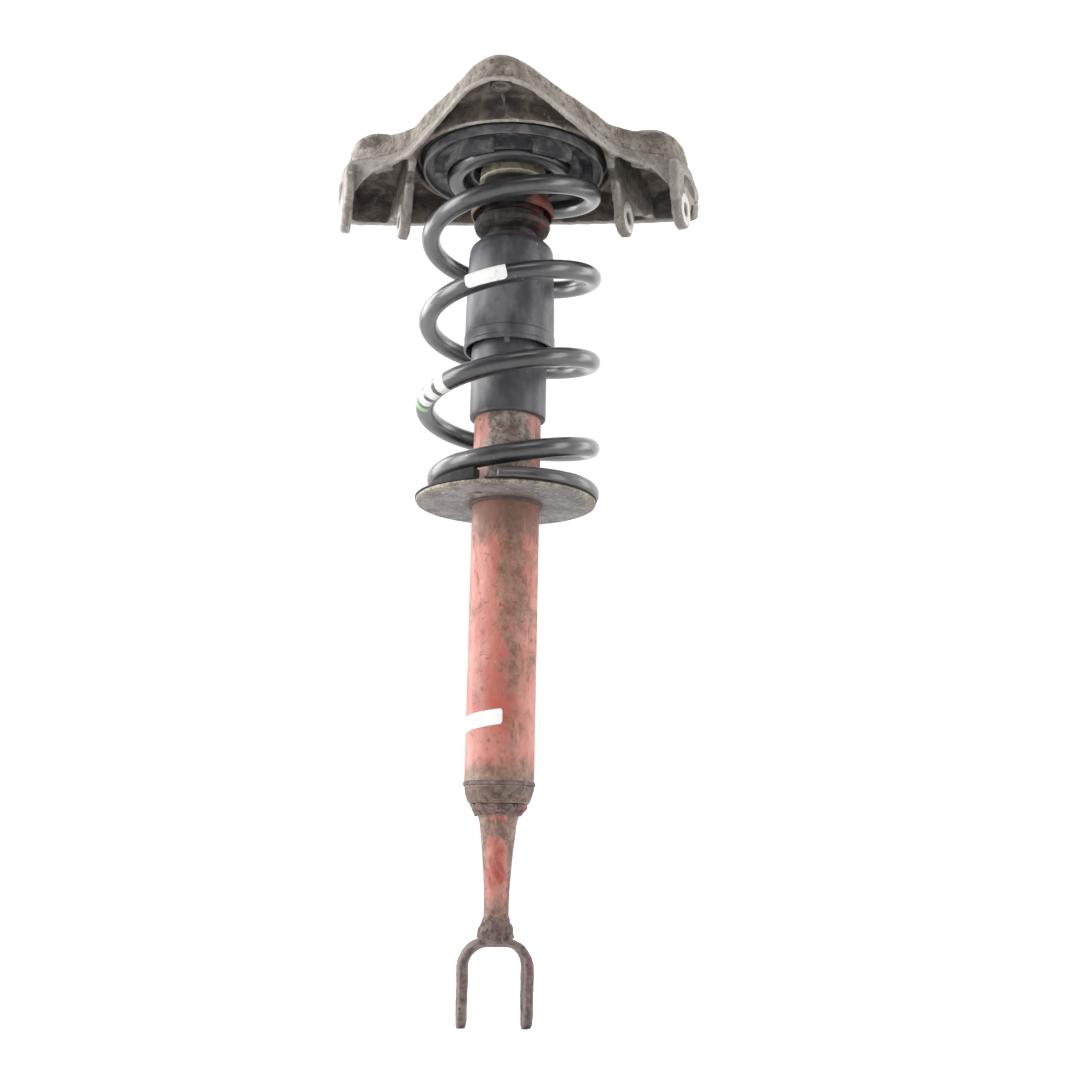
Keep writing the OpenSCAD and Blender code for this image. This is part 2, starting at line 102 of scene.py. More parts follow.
class Finish:
    """A Principled material and short calls that add nodes to it."""

    def __init__(self, name, rough=0.6, metal=0.0, spec=0.5, coat=0.0, coat_rough=0.2):
        self.mat = bpy.data.materials.new(name)
        self.mat.use_nodes = True
        self.tree = self.mat.node_tree
        self.bsdf = self.tree.nodes["Principled BSDF"]
        for socket, value in (("Roughness", rough), ("Metallic", metal), ("Specular IOR Level", spec),
                              ("Coat Weight", coat), ("Coat Roughness", coat_rough)):
            self.bsdf.inputs[socket].default_value = value
        self.where = self.tree.nodes.new("ShaderNodeTexCoord").outputs["Object"]

    def put(self, socket, value):
        """Links a node output, or sets a constant, on a node's socket."""
        if isinstance(value, bpy.types.NodeSocket):
            self.tree.links.new(value, socket)
        else:
            socket.default_value = value

    def attribute(self, name, out="Fac"):
        node = self.tree.nodes.new("ShaderNodeAttribute")
        node.attribute_name = name
        return node.outputs[out]

    def math(self, op, a, b=0.0, c=0.0, clamp=False):
        node = self.tree.nodes.new("ShaderNodeMath")
        node.operation = op
        node.use_clamp = clamp
        for socket, value in zip(node.inputs, (a, b, c)):
            self.put(socket, value)
        return node.outputs[0]

    def axis(self, i, source=None):
        node = self.tree.nodes.new("ShaderNodeSeparateXYZ")
        self.put(node.inputs[0], source or self.where)
        return node.outputs[i]

    def stretch(self, x, y, z, source=None):
        node = self.tree.nodes.new("ShaderNodeMapping")
        self.put(node.inputs["Vector"], source or self.where)
        node.inputs["Scale"].default_value = (x, y, z)
        return node.outputs[0]

    def noise(self, scale, detail=4.0, rough=0.55, distort=0.0, source=None):
        node = self.tree.nodes.new("ShaderNodeTexNoise")
        for socket, value in (("Vector", source or self.where), ("Scale", scale), ("Detail", detail),
                              ("Roughness", rough), ("Distortion", distort)):
            self.put(node.inputs[socket], value)
        return node.outputs["Fac"]

    def band(self, value, low, high):
        """0 below low, 1 above high, smooth between; high below low turns it round."""
        node = self.tree.nodes.new("ShaderNodeMapRange")
        node.interpolation_type = "SMOOTHSTEP"
        self.put(node.inputs["Value"], value)
        node.inputs["From Min"].default_value = min(low, high)
        node.inputs["From Max"].default_value = max(low, high)
        node.inputs["To Min"].default_value = 0.0 if low < high else 1.0
        node.inputs["To Max"].default_value = 1.0 if low < high else 0.0
        return node.outputs[0]

    def window(self, value, low, high, soft):
        """1 between low and high, falling to 0 over soft on both sides."""
        return self.math("MULTIPLY", self.band(value, low - soft, low), self.band(value, high + soft, high))

    def mix(self, fac, a, b):
        node = self.tree.nodes.new("ShaderNodeMix")
        node.data_type = "RGBA"
        for i, value in ((0, fac), (6, a), (7, b)):
            self.put(node.inputs[i], value)
        return node.outputs[2]

    def blend(self, fac, a, b):
        node = self.tree.nodes.new("ShaderNodeMix")
        for i, value in ((0, fac), (2, a), (3, b)):
            self.put(node.inputs[i], value)
        return node.outputs[0]

    def bump(self, height, distance, strength=1.0, under=None):
        node = self.tree.nodes.new("ShaderNodeBump")
        self.put(node.inputs["Height"], height)
        node.inputs["Distance"].default_value = distance
        node.inputs["Strength"].default_value = strength
        if under is not None:
            self.put(node.inputs["Normal"], under)
        return node.outputs[0]

    def done(self, colour, rough=None, normal=None, metal=None):
        self.put(self.bsdf.inputs["Base Color"], colour)
        for socket, value in (("Roughness", rough), ("Normal", normal), ("Metallic", metal)):
            if value is not None:
                self.put(self.bsdf.inputs[socket], value)
        return self.mat


# ---------------------------------------------------------------- finishes

def cast_metal():
    """Weathered cast aluminium: corroded above a worn lip, with a painted shadow line at the lip's step,
    paler in streaks at the left, edge wear mixed with a painted highlight on convex edges, and painted shade
    inside.
    """
    f = Finish("cast_metal", rough=0.62, metal=0.2)
    grain = f.noise(620, 5, 0.7)
    blotch = f.noise(38, 6, 0.65, 0.4)
    speck = f.noise(210, 4, 0.7)
    streak = f.noise(95, 7, 0.75, 0.5, f.stretch(1, 1, 0.5))
    uneven = f.math("MULTIPLY", f.math("SUBTRACT", blotch, 0.5), 0.016)
    upper = f.band(f.math("ADD", f.attribute("lift"), uneven), -2 * MM, 2 * MM)
    colour = f.mix(f.band(blotch, 0.34, 0.68), srgb("7c756f"), srgb("9e9791"))
    colour = f.mix(f.math("MULTIPLY", f.band(streak, 0.50, 0.62), 0.6), colour, srgb("6d6359"))
    corroded = f.mix(f.band(streak, 0.38, 0.60), srgb("665b50"), srgb("958c81"))
    corroded = f.mix(f.band(speck, 0.54, 0.64), corroded, srgb("51453b"))
    colour = f.mix(f.math("MULTIPLY", upper, 0.85), colour, corroded)
    # A dark line along the step where the wall stands back above the lip: painted shadow.
    step_shadow_line = f.window(f.attribute("lift"), 0.2 * MM, 1.6 * MM, 1.2 * MM)
    colour = f.mix(f.math("MULTIPLY", step_shadow_line, 0.55), colour, srgb("4d433b"))
    colour = f.mix(f.band(f.noise(330, 5, 0.75), 0.57, 0.67), colour, srgb("4a4038"))
    colour = f.mix(f.band(f.noise(260, 3, 0.6), 0.62, 0.72), colour, srgb("bdb7b1"))
    # Lighter on convex edges: edge wear together with a painted highlight.
    worn = f.math("MULTIPLY", f.band(f.attribute("convex"), 0.2, 0.9),
                  f.blend(f.band(streak, 0.4, 0.6), 0.15, 0.55))
    colour = f.mix(worn, colour, srgb("c2bbb4"))
    # Paler in streaks toward the left, where x is below -70 mm.
    dust = f.math("MULTIPLY", f.band(f.axis(0), -70 * MM, -140 * MM), f.band(streak, 0.40, 0.62))
    colour = f.mix(f.math("MULTIPLY", dust, 0.45), colour, srgb("d3cfca"))
    inner = f.attribute("inner")
    # Darker inside, under the roof and beside the ears: painted shade.
    inside_shade = f.mix(f.band(f.noise(70, 6, 0.7, 0.6), 0.40, 0.64), srgb("4b4541"), srgb("7b7067"))
    inside_shade = f.mix(f.band(f.noise(160, 4, 0.7), 0.60, 0.72), inside_shade, srgb("968a7e"))
    colour = f.mix(f.band(inner, 0.35, 0.65), colour, inside_shade)
    across = f.attribute("ear_radius")
    face = f.math("MULTIPLY", f.attribute("ear_face"), f.band(across, 12.7 * MM, 12.3 * MM))
    rings = f.band(f.math("SINE", f.math("MULTIPLY", across, 9000.0)), -1.0, 1.0)
    machined = f.mix(rings, srgb("b3aea9"), srgb("dad7d4"))
    machined = f.mix(f.band(f.noise(240, 4, 0.7), 0.55, 0.72), machined, srgb("82786e"))
    colour = f.mix(face, colour, machined)
    height = f.math("ADD", f.math("MULTIPLY", grain, 0.5),
                    f.math("ADD", speck, f.math("MULTIPLY", streak, 0.8)))
    normal = f.bump(height, 0.0009, 0.7)
    rough = f.blend(face, f.blend(speck, 0.48, 0.82), 0.34)
    return f.done(colour, rough, normal)


def black_coat(name, base, dust, rough=0.42, dusty=0.5, spec=0.5):
    """A black coating with a film of dust in patches and fine grit."""
    f = Finish(name, rough=rough, spec=spec)
    film = f.noise(55, 6, 0.65, 0.5)
    grit = f.noise(900, 3, 0.7)
    amount = f.math("MULTIPLY", f.band(film, 0.36, 0.72), dusty)
    colour = f.mix(amount, srgb(base), srgb(dust))
    colour = f.mix(f.math("MULTIPLY", f.band(grit, 0.62, 0.75), dusty * 0.8), colour, srgb(dust))
    return f.done(colour, f.blend(amount, rough, 0.85), f.bump(grit, 0.0002, 0.4))


def moulded(name, base, dust, dark, seam=None):
    """Dusty moulded plastic with rubbed streaks; seam is the height of a darker ring above the seat."""
    f = Finish(name, rough=0.46, spec=0.55, coat=0.45, coat_rough=0.33)
    streak = f.noise(60, 5, 0.6, 0.3, f.stretch(1, 1, 0.5))
    patch = f.noise(48, 6, 0.7, 0.8)
    grit = f.noise(800, 3, 0.7)
    colour = f.mix(f.band(streak, 0.35, 0.7), srgb(base), srgb(dust))
    colour = f.mix(f.math("MULTIPLY", f.band(patch, 0.55, 0.72), 0.75), colour, srgb(dark))
    colour = f.mix(f.band(f.noise(170, 2, 0.5), 0.73, 0.78), colour, srgb("a8a59f"))
    height = f.math("MULTIPLY", grit, 0.4)
    if seam is not None:
        z = f.axis(2)
        line = f.window(z, SEAT_Z + seam - 0.25 * MM, SEAT_Z + seam + 0.25 * MM, 0.35 * MM)
        colour = f.mix(f.math("MULTIPLY", line, 0.6), colour, srgb(dark))
    return f.done(colour, f.blend(patch, 0.38, 0.72), f.bump(height, 0.0003, 0.5))


def rubber(name, base="1b1b1d", dust="6a655e", dusty=0.25):
    f = Finish(name, rough=0.72, spec=0.35)
    film = f.noise(80, 5, 0.65, 0.4)
    colour = f.mix(f.math("MULTIPLY", f.band(film, 0.4, 0.75), dusty), srgb(base), srgb(dust))
    return f.done(colour, f.blend(film, 0.55, 0.85), f.bump(f.noise(700, 4, 0.7), 0.0003, 0.5))


def stop_rubber():
    """Black bump stop with an orange-red rust stain on its right side."""
    f = Finish("stop_rubber", rough=0.55, spec=0.4)
    film = f.noise(90, 5, 0.65, 0.6)
    colour = f.mix(f.math("MULTIPLY", f.band(film, 0.42, 0.7), 0.5), srgb("242122"), srgb("6b625b"))
    side = f.band(f.axis(0), 9 * MM, 20 * MM)
    front = f.band(f.axis(1), 6 * MM, -8 * MM)
    stain = f.math("MULTIPLY", f.math("MULTIPLY", side, front),
                   f.band(f.noise(75, 6, 0.7, 0.7, f.stretch(1, 1, 2.6)), 0.42, 0.58))
    colour = f.mix(f.math("MULTIPLY", stain, 0.75), colour, srgb("6b2a21"))
    return f.done(colour, f.blend(film, 0.4, 0.75), f.bump(f.noise(420, 4, 0.7), 0.0003, 0.5))


def cup_metal():
    """Dull plated cup with olive rust; its flared rim is dark, red and pink only at the right, with a painted
    highlight at the left and a thin painted highlight line just above it.
    """
    f = Finish("cup_metal", rough=0.5, metal=0.35)
    rust = f.noise(75, 6, 0.7, 0.6)
    x, z = f.axis(0), f.axis(2)
    colour = f.mix(f.band(rust, 0.38, 0.66), srgb("c2b9a8"), srgb("8a7c68"))
    colour = f.mix(f.band(f.noise(300, 4, 0.7), 0.6, 0.7), colour, srgb("3c322b"))
    rim = f.band(z, SEAT_Z + 261 * MM, SEAT_Z + 258 * MM)
    side = f.math("ADD", x, f.math("MULTIPLY", f.math("SUBTRACT", rust, 0.5), 0.03))
    red = f.mix(f.band(rust, 0.40, 0.58), srgb("5f2e28"), srgb("85544d"))
    flare = f.mix(f.band(side, 10 * MM, 18 * MM), srgb("332d2a"), red)
    # Paler at the left of the flare: painted highlight.
    flare = f.mix(f.band(side, -20 * MM, -27 * MM), flare, srgb("9a8277"))
    colour = f.mix(rim, colour, flare)
    # A thin light line round the cup just above the flare: painted highlight.
    edge = f.window(z, SEAT_Z + 261.6 * MM, SEAT_Z + 262.6 * MM, 0.4 * MM)
    colour = f.mix(f.math("MULTIPLY", edge, 0.9), colour, srgb("d8d2c4"))
    return f.done(colour, f.blend(rust, 0.4, 0.75), f.bump(rust, 0.0004, 0.5))


def steel(name, base, stain, rough=0.35, metal=0.9, scale=120):
    """Bare or plated steel with light staining and fine machining marks."""
    f = Finish(name, rough=rough, metal=metal)
    patch = f.noise(scale, 5, 0.65, 0.4)
    lines = f.noise(90, 3, 0.6, 0.0, f.stretch(1, 1, 22))
    colour = f.mix(f.band(patch, 0.45, 0.75), srgb(base), srgb(stain))
    return f.done(colour, f.blend(patch, rough * 0.8, min(1.0, rough * 1.8)), f.bump(lines, 0.0001, 0.4))


# Colour-code stripes on the wire: from and to, in degrees of turn, and colour.
PAINT_STRIPES = ((189, 193.5, "7fb873"), (197.5, 204, "dfe2e0"), (208, 215, "e6e7e5"), (219, 226, "e6e7e5"))


def spring_coat():
    """Satin black powder coat with paint stripes; mesh attributes give the place on the wire."""
    f = Finish("spring_coat", rough=0.34, spec=0.7, coat=1.0, coat_rough=0.2)
    rest = f.attribute("rest", "Vector")
    turn = f.attribute("turn")
    film = f.noise(50, 5, 0.65, 0.3, rest)
    peel = f.noise(520, 2, 0.5, 0.0, rest)
    colour = f.mix(f.math("MULTIPLY", f.band(film, 0.36, 0.76), 0.16), srgb("1b1c20"), srgb("6f7176"))
    end_dust = f.band(turn, -60.0, -200.0)
    dust = f.math("MULTIPLY", end_dust, f.band(f.noise(85, 5, 0.65, 0.5, rest), 0.34, 0.62))
    colour = f.mix(f.math("MULTIPLY", dust, 0.3), colour, srgb("665c52"))
    colour = f.mix(f.band(f.noise(420, 3, 0.6, 0.0, rest), 0.70, 0.74), colour, srgb("8d8a88"))
    uneven = f.math("SUBTRACT", f.noise(160, 3, 0.6, 0.0, rest), 0.5)
    ragged = f.math("ADD", turn, f.math("MULTIPLY", uneven, 2.0))
    for low, high, code in PAINT_STRIPES:
        stripe = f.math("MULTIPLY", f.window(ragged, low, high, 0.4), 0.95)
        wear = f.band(f.noise(330, 4, 0.7, 0.0, rest), 0.30, 0.42)
        stripe = f.math("MULTIPLY", stripe, wear)
        stripe = f.math("MULTIPLY", stripe, f.band(f.attribute("outward"), -0.35, -0.15))
        colour = f.mix(stripe, colour, srgb(code))
    rough = f.blend(film, 0.30, 0.46)
    rough = f.blend(f.math("MULTIPLY", dust, 0.8), rough, 0.85)
    return f.done(colour, rough, f.bump(peel, 0.00012, 0.35))


def tube_paint():
    """Faded red paint under a brown-grey grease film, thickened in the middle and at the right as painted
    shade, with painted shade under the disc, chips and dark specks.
    """
    f = Finish("tube_paint", rough=0.42, spec=0.45)
    z = f.axis(2)
    x = f.axis(0)
    fade = f.noise(26, 6, 0.65, 0.5, f.stretch(1, 1, 0.5))
    colour = f.mix(f.band(fade, 0.35, 0.66), srgb("b75e53"), srgb("c98a7c"))
    blush = f.band(f.noise(130, 6, 0.75, 0.4), 0.48, 0.62)
    colour = f.mix(f.math("MULTIPLY", blush, 0.45), colour, srgb("a8796a"))
    # The film lies mostly right of the middle, where it is thickened as painted shade, and thins out lower
    # down.
    film = f.noise(75, 8, 0.78, 0.6, f.stretch(1, 1, 0.55))
    middle_shade = f.window(x, 1 * MM, 9 * MM, 10 * MM)
    high = f.band(z, SEAT_Z - 175 * MM, SEAT_Z - 50 * MM)
    reach = f.math("MULTIPLY", middle_shade, f.blend(high, 0.03, 0.19))
    right = f.math("MULTIPLY", f.band(x, 2 * MM, 20 * MM), f.blend(high, 0.03, 0.085))
    thick = f.math("ADD", f.math("ADD", film, right), f.math("ADD", reach, f.math("MULTIPLY", high, 0.02)))
    grease = f.band(thick, 0.50, 0.70)
    tone = f.mix(f.band(f.noise(150, 6, 0.75), 0.38, 0.62), srgb("63503f"), srgb("8d7a69"))
    colour = f.mix(f.math("MULTIPLY", grease, 0.74), colour, tone)
    ragged = f.math("ADD", z, f.math("MULTIPLY", f.math("SUBTRACT", film, 0.5), 0.05))
    # Darker in a ragged band just under the disc: painted shade.
    under_disc_shade = f.band(ragged, SEAT_Z - 38 * MM, SEAT_Z - 14 * MM)
    under_disc_shade = f.math("MULTIPLY", under_disc_shade, f.band(z, SEAT_Z + 8 * MM, SEAT_Z + 2 * MM))
    colour = f.mix(f.math("MULTIPLY", under_disc_shade, 0.7), colour, srgb("71574a"))
    foot = f.band(ragged, SEAT_Z - 188 * MM, SEAT_Z - 203 * MM)
    colour = f.mix(f.math("MULTIPLY", foot, 0.85), colour, tone)
    # Above the disc the paint shows red only along both edges.
    above = f.band(z, SEAT_Z + 10 * MM, SEAT_Z + 20 * MM)
    middle = f.window(x, -12 * MM, 13 * MM, 5 * MM)
    grey = f.mix(f.band(f.noise(140, 7, 0.75, 0.5), 0.40, 0.62), srgb("6a5c53"), srgb("b0a59c"))
    patchy = f.band(f.math("ADD", f.noise(85, 7, 0.75, 0.7), f.math("MULTIPLY", middle, 0.16)), 0.50, 0.62)
    colour = f.mix(f.math("MULTIPLY", above, patchy), colour, grey)
    # Small chips and flecks, denser on the upper half.
    chips = f.band(f.math("ADD", f.noise(170, 6, 0.75, 0.8), f.math("MULTIPLY", high, 0.012)), 0.60, 0.645)
    colour = f.mix(f.math("MULTIPLY", chips, 0.7), colour, srgb("5f4b40"))
    bright = f.band(f.noise(150, 6, 0.75, 0.6), 0.62, 0.67)
    colour = f.mix(f.math("MULTIPLY", bright, 0.6), colour, srgb("d09287"))
    fresh = f.band(f.noise(105, 6, 0.75, 0.9), 0.63, 0.68)
    colour = f.mix(f.math("MULTIPLY", fresh, 0.6), colour, srgb("b23f38"))
    height = f.math("SUBTRACT", f.math("MULTIPLY", grease, 0.5), chips)
    return f.done(colour, f.blend(grease, 0.36, 0.68), f.bump(height, 0.00025, 0.7))


def foot_paint(name, red, keep_red, bare_dark, bare_light, edge=0.3):
    """Worn red paint over brown-grey steel; keep_red is how much paint is left, and edge how strong the
    painted highlight on convex edges is.
    """
    f = Finish(name, rough=0.62, spec=0.4)
    bare = f.mix(f.band(f.noise(130, 7, 0.75, 0.6), 0.38, 0.62), srgb(bare_dark), srgb(bare_light))
    worn = f.noise(70, 8, 0.78, 0.8, f.stretch(1, 1, 0.6))
    left = f.band(worn, 0.52 + 0.22 * (0.5 - keep_red), 0.64 + 0.22 * (0.5 - keep_red))
    colour = f.mix(left, bare, srgb(red))
    flecks = f.band(f.noise(230, 6, 0.75, 0.6), 0.60, 0.65)
    colour = f.mix(f.math("MULTIPLY", flecks, 0.75), colour, srgb("b0606c"))
    pits = f.band(f.noise(250, 6, 0.78, 0.3), 0.58, 0.65)
    colour = f.mix(f.math("MULTIPLY", pits, 0.8), colour, srgb("322a28"))
    # Lighter on convex edges: painted highlight.
    light = f.math("MULTIPLY", f.band(f.attribute("convex"), 0.3, 1.0), edge)
    colour = f.mix(light, colour, srgb("b0a5a0"))
    height = f.math("SUBTRACT", f.math("MULTIPLY", f.noise(330, 5, 0.7), 0.8), pits)
    return f.done(colour, f.blend(worn, 0.5, 0.8), f.bump(height, 0.0007, 0.8))


def stem_paint():
    """Worn salmon paint, greyer at both ends and along the far sides."""
    f = Finish("stem_paint", rough=0.5, spec=0.4)
    z = f.axis(2)
    worn = f.noise(75, 8, 0.76, 0.8, f.stretch(1, 1, 0.4))
    tint = f.noise(60, 6, 0.7, 0.6, f.stretch(1, 1, 0.5))
    red = f.mix(f.band(tint, 0.36, 0.62), srgb("a44c45"), srgb("c28678"))
    grey = f.mix(f.band(f.noise(130, 7, 0.75, 0.5), 0.38, 0.62), srgb("66564e"), srgb("988679"))
    low = f.band(z, SEAT_Z - 282 * MM, SEAT_Z - 302 * MM)
    top = f.window(z, SEAT_Z - 243 * MM, SEAT_Z - 236 * MM, 5 * MM)
    ends = f.math("ADD", f.math("MULTIPLY", low, 0.14), f.math("MULTIPLY", top, 0.14))
    away = f.math("ABSOLUTE", f.math("ADD", f.axis(0), 0.0005))
    sides = f.math("MULTIPLY", f.band(away, 5.5 * MM, 10 * MM), 0.2)
    grime = f.band(f.math("ADD", f.math("ADD", worn, ends), sides), 0.52, 0.68)
    colour = f.mix(f.math("MULTIPLY", grime, 0.9), red, grey)
    flecks = f.band(f.noise(240, 6, 0.75, 0.5), 0.60, 0.65)
    colour = f.mix(f.math("MULTIPLY", flecks, 0.7), colour, srgb("4a3d37"))
    return f.done(colour, f.blend(grime, 0.42, 0.74), f.bump(f.noise(260, 5, 0.7), 0.0004, 0.6))


def disc_coat():
    """Grey mottled coating; tan corrosion along the rim and painted shade, brown, round the tube where it
    meets the disc.
    """
    f = Finish("disc_coat", rough=0.5, metal=0.25)
    x, y = f.axis(0), f.axis(1)
    away = f.math("SQRT", f.math("ADD", f.math("MULTIPLY", x, x), f.math("MULTIPLY", y, y)))
    mottle = f.noise(48, 7, 0.72, 0.5)
    colour = f.mix(f.band(mottle, 0.36, 0.64), srgb("605c5b"), srgb("928e8c"))
    fine = f.noise(330, 6, 0.78)
    colour = f.mix(f.math("MULTIPLY", f.band(fine, 0.54, 0.64), 0.7), colour, srgb("4f4a46"))
    colour = f.mix(f.math("MULTIPLY", f.band(f.noise(380, 5, 0.75), 0.58, 0.64), 0.8), colour, srgb("cfcac4"))
    wander = f.math("MULTIPLY", f.math("SUBTRACT", f.noise(90, 7, 0.75), 0.5), 0.03)
    rim = f.band(f.math("ADD", away, wander), 62 * MM, 69 * MM)
    tan = f.mix(f.band(f.noise(260, 6, 0.78), 0.42, 0.60), srgb("655a4b"), srgb("b3a995"))
    colour = f.mix(f.math("MULTIPLY", rim, 0.8), colour, tan)
    # Darker brown round the tube where it meets the disc: painted shade.
    tube_junction_shade = f.band(f.math("ADD", away, f.math("MULTIPLY", f.math("SUBTRACT", mottle, 0.5), 0.006)),
                    34 * MM, 29 * MM)
    colour = f.mix(f.math("MULTIPLY", tube_junction_shade, 0.7), colour, srgb("574a42"))
    return f.done(colour, f.blend(mottle, 0.38, 0.68), f.bump(fine, 0.0005, 0.6))


def label_white(name):
    """Blank white label: slightly yellowed, with scuffs and faint creases."""
    f = Finish(name, rough=0.42, spec=0.4)
    rest = f.attribute("rest", "Vector")
    scuff = f.noise(140, 5, 0.7, 0.8, rest)
    colour = f.mix(f.band(scuff, 0.52, 0.74), srgb("f4f3f1"), srgb("d3cfc9"))
    colour = f.mix(f.band(f.noise(420, 3, 0.6, 0.0, rest), 0.70, 0.76), colour, srgb("8f8a84"))
    return f.done(colour, f.blend(scuff, 0.34, 0.6), f.bump(f.noise(90, 3, 0.5, 0.6, rest), 0.0003, 0.3))


FINISHES = {
    "strut_bracket": cast_metal(),
    "mount_plate": black_coat("mount_plate_coat", "1d1e21", "57534e", 0.5, 0.35),
    "mount_rubber": rubber("mount_rubber_black"),
    "mount_sleeve": steel("sleeve_zinc", "9b9c9d", "6f665c", 0.4),
    "mount_screws": steel("screw_zinc", "8e8d8b", "5b5148", 0.42),
    "rod_washer": steel("washer_zinc", "9c9b99", "6a6056", 0.4),
    "rod_nut": steel("nut_zinc", "94928f", "5f554b", 0.42),
    "top_spring_seat": black_coat("seat_coat", "46474c", "9b9793", 0.42, 0.6),
    "top_spring_pad": rubber("pad_rubber_top", "3c3d42", "a19d99", 0.5),
    "bump_stop_cup": cup_metal(),
    "bump_stop": stop_rubber(),
    "outer_dust_sleeve": moulded("outer_sleeve_plastic", "3c3d41", "6b6b70", "2c2d30", 133 * MM),
    "piston_rod": steel("rod_chrome", "c9cbce", "b3b5b8", 0.12, 1.0),
    "rebound_stop": steel("stop_steel", "5c5d5f", "3f3f41", 0.4),
    "piston": steel("piston_iron", "6b6c6e", "4b4c4e", 0.5),
    "piston_band": steel("band_bronze", "8f7346", "6f5a3a", 0.5, 0.1),
    "valve_shims": steel("shim_steel", "aeb0b2", "8c8e90", 0.25),
    "piston_nut": steel("piston_nut_zinc", "96989a", "6c6e70", 0.35),
    "damper_tube": tube_paint(),
    "pressure_cylinder": steel("cylinder_steel", "989a9c", "7b7d80", 0.3),
    "base_valve": steel("valve_iron", "717375", "525456", 0.5),
    "rod_guide": steel("guide_iron", "77797b", "57595b", 0.5),
    "rod_bush": steel("bush_bronze", "8c7448", "6a5838", 0.45, 0.2),
    "rod_seal": rubber("seal_rubber", "151517", "3b3a38", 0.1),
    "tube_cap": steel("cap_steel", "5f6062", "48443f", 0.45, 0.7),
    "inner_dust_tube": moulded("inner_cover_plastic", "333438", "535358", "27272a"),
    "seat_circlip": steel("clip_steel", "6a5d54", "54483f", 0.55, 0.3),
    "lower_spring_seat": disc_coat(),
    "lower_spring_pad": rubber("pad_rubber_low", "1c1d1f", "5f5a53", 0.35),
    "end_cap": foot_paint("end_cap_paint", "8a5d51", 0.25, "5a4a41", "836f62"),
    "stem": stem_paint(),
    "welds": foot_paint("weld_paint", "8f4a4c", 0.40, "453935", "7a6860", 0.12),
    "fork": foot_paint("fork_paint", "8d5857", 0.32, "574a48", "877775"),
}


# ---------------------------------------------------------------- mesh helpers

def piece(name, verts, faces, body, finish, smooth=True):
    """A new mesh object with one material, riding on a body if one is named."""
    mesh = bpy.data.meshes.new(name)
    mesh.from_pydata([tuple(v) for v in verts], [], faces)
    mesh.validate()
    mesh.update()
    mesh.polygons.foreach_set("use_smooth", [smooth] * len(mesh.polygons))
    obj = bpy.data.objects.new(name, mesh)
    bpy.context.scene.collection.objects.link(obj)
    obj.data.materials.append(finish)
    if body:
        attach(obj, body)
    return obj


def store(obj, name, values, kind="FLOAT"):
    """Puts one number or vector per vertex on the mesh for its material."""
    attribute = obj.data.attributes.new(name, kind, "POINT")
    field = "vector" if kind == "FLOAT_VECTOR" else "value"
    attribute.data.foreach_set(field, np.asarray(values, np.float32).ravel())


def corners(obj):
    """Vertex positions as an array."""
    co = np.empty(len(obj.data.vertices) * 3)
    obj.data.vertices.foreach_get("co", co)
    return co.reshape(-1, 3)


def normals(obj):
    """Vertex normals as an array."""
    out = np.empty(len(obj.data.vertices) * 3)
    obj.data.vertices.foreach_get("normal", out)
    return out.reshape(-1, 3)


def edges(obj):
    """Pairs of vertex numbers, one per edge."""
    out = np.empty(len(obj.data.edges) * 2, int)
    obj.data.edges.foreach_get("vertices", out)
    return out.reshape(-1, 2)


def spread(values, pairs, rounds):
    """Averages values over mesh edges, rounds times."""
    values = np.asarray(values, float)
    count = np.bincount(pairs.ravel(), minlength=len(values)).astype(float)
    count = np.maximum(count, 1)
    for _ in range(rounds):
        total = np.zeros_like(values)
        for a, b in ((0, 1), (1, 0)):
            np.add.at(total, pairs[:, a], values[pairs[:, b]])
        values = 0.5 * values + 0.5 * (total.T / count).T
    return values


def skin(source, name, cell, rounds, roughness=(), keep=None):
    """A rounded skin of a CAD node: voxel remesh at cell, smoothing, then noise bumps of (size, height)."""
    node = frame["nodes"][source]
    obj = bpy.data.objects.new(name, node.data.copy())
    bpy.context.scene.collection.objects.link(obj)
    obj.data.materials.clear()
    obj.data.materials.append(FINISHES[source])
    mod = obj.modifiers.new("remesh", "REMESH")
    mod.mode = "VOXEL"
    mod.voxel_size = cell
    mod.use_smooth_shade = True
    bpy.context.view_layer.update()
    graph = bpy.context.evaluated_depsgraph_get()
    mesh = bpy.data.meshes.new_from_object(obj.evaluated_get(graph))
    obj.modifiers.clear()
    obj.data = mesh
    obj.data.materials.clear()
    obj.data.materials.append(FINISHES[source])
    pairs = edges(obj)
    rest = corners(obj)
    co = spread(rest, pairs, rounds)
    if keep is not None:
        hold = keep(rest)[:, None]
        co = rest * hold + co * (1 - hold)
    obj.data.vertices.foreach_set("co", co.ravel())
    obj.data.update()
    out = normals(obj)
    for size, height, power in roughness:
        lift = np.array([noise.noise(Vector(p) / size) for p in co])
        lift = np.sign(lift) * np.abs(lift) ** power
        if keep is not None:
            lift = lift * (1 - keep(rest))
        co = co + out * (lift * height)[:, None]
    obj.data.vertices.foreach_set("co", co.ravel())
    obj.data.polygons.foreach_set("use_smooth", [True] * len(obj.data.polygons))
    obj.data.update()
    body = node["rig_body"]
    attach(obj, body)
    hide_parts(source)
    bend(obj)
    return obj


def bend(obj):
    """Stores how convex the surface is, about 1 on a rounded edge."""
    pairs, co, out = edges(obj), corners(obj), normals(obj)
    d = co[pairs[:, 1]] - co[pairs[:, 0]]
    turn = ((out[pairs[:, 1]] - out[pairs[:, 0]]) * d).sum(1) / np.maximum((d * d).sum(1), 1e-12)
    total = np.zeros(len(co))
    for k in (0, 1):
        np.add.at(total, pairs[:, k], turn)
    count = np.maximum(np.bincount(pairs.ravel(), minlength=len(co)), 1)
    if "convex" in obj.data.attributes:
        obj.data.attributes.remove(obj.data.attributes["convex"])
    store(obj, "convex", spread(total / count, pairs, 2) * 4 * MM)


# ---------------------------------------------------------------- cast bracket

